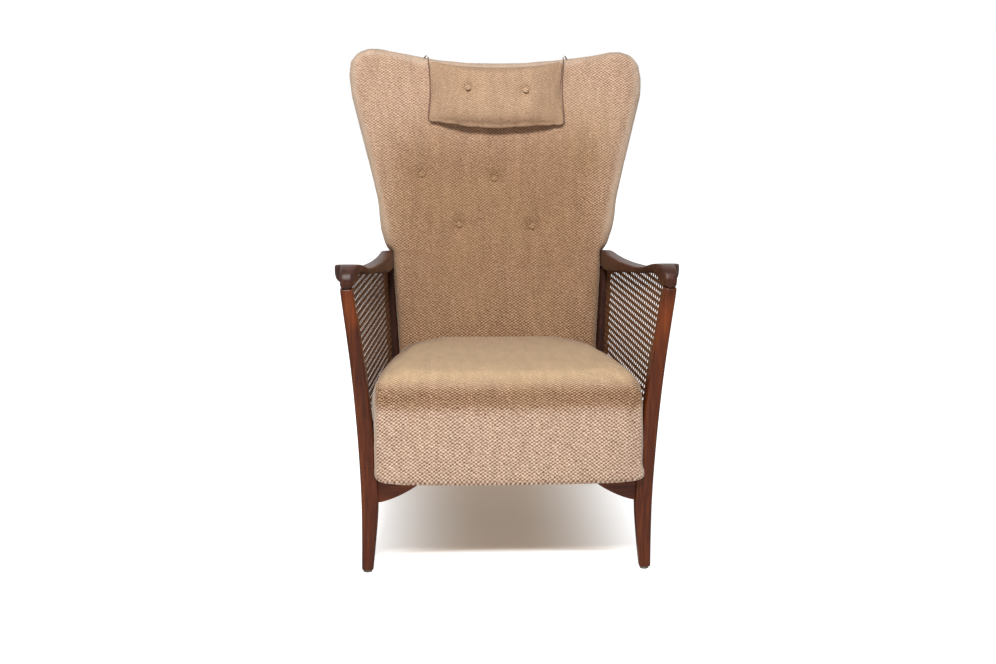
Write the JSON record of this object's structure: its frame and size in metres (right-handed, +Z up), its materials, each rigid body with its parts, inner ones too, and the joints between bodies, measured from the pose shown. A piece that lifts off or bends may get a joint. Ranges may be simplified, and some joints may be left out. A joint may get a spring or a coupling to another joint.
{
  "type": "fireside chair",
  "caption": "Fireside armchair with a fan-shaped buttoned back, sprung seat, caned sides, stained wood frame and a hanging head cushion.",
  "frame": {"origin": "on the floor, at the middle of the chair's bounding box", "axes": "+Z up, -Y towards the front of the seat, +X to the right as seen from the front"},
  "size_m": [0.726, 0.773, 1.0815],
  "materials": {
    "stained_wood": "satin dark red-brown stain",
    "plain_wood": "unfinished beech",
    "plush": "patterned beige chenille plush",
    "cane": "brown stained cane",
    "spring_steel": "bare steel wire",
    "jute": "woven jute",
    "black_cloth": "thin black cloth",
    "twisted_cord": "twisted cord",
    "glide": "matt grey"
  },
  "bodies": {
    "chair": {"arm_left": "stained_wood", "arm_right": "stained_wood", "back_bolt_1_left": "spring_steel", "back_bolt_1_right": "spring_steel", "back_bolt_2_left": "spring_steel", "back_bolt_2_right": "spring_steel", "back_bottom_rail": "plain_wood", "back_button_1": "plush", "back_button_2": "plush", "back_button_3": "plush", "back_button_4": "plush", "back_cover": "plush", "back_pad": "plush", "back_stile_left": "plain_wood", "back_stile_right": "plain_wood", "back_top_rail": "plain_wood", "back_webbing": "jute", "bottom_cover": "black_cloth", "cane_panel_left": "cane", "cane_panel_right": "cane", "front_corner_block_left": "plain_wood", "front_corner_block_right": "plain_wood", "front_glide_left": "glide", "front_glide_right": "glide", "front_leg_left": "stained_wood", "front_leg_right": "stained_wood", "front_rail": "stained_wood", "hanging_cord_left": "twisted_cord", "hanging_cord_right": "twisted_cord", "rear_corner_block_left": "plain_wood", "rear_corner_block_right": "plain_wood", "rear_glide_left": "glide", "rear_glide_right": "glide", "rear_leg_left": "stained_wood", "rear_leg_right": "stained_wood", "rear_rail": "stained_wood", "seat_pad": "plush", "seat_spring_1": "spring_steel", "seat_spring_2": "spring_steel", "seat_spring_3": "spring_steel", "seat_spring_4": "spring_steel", "seat_spring_5": "spring_steel", "seat_spring_6": "spring_steel", "seat_spring_7": "spring_steel", "seat_spring_8": "spring_steel", "seat_spring_9": "spring_steel", "seat_webbing": "jute", "side_rail_left": "stained_wood", "side_rail_right": "stained_wood", "spring_hessian": "jute"},
    "head_cushion": {"cushion_cord_left": "twisted_cord", "cushion_cord_right": "twisted_cord", "head_button_1": "plush", "head_button_2": "plush", "head_cushion": "plush"}
  },
  "joints": [
    {"name": "head_cushion_swing", "type": "hinge", "parent": "chair", "child": "head_cushion", "pos_m": [0, 0.32435, 1.06866], "axis": [-1, 0, 0], "range_deg": [0, 100]}
  ]
}
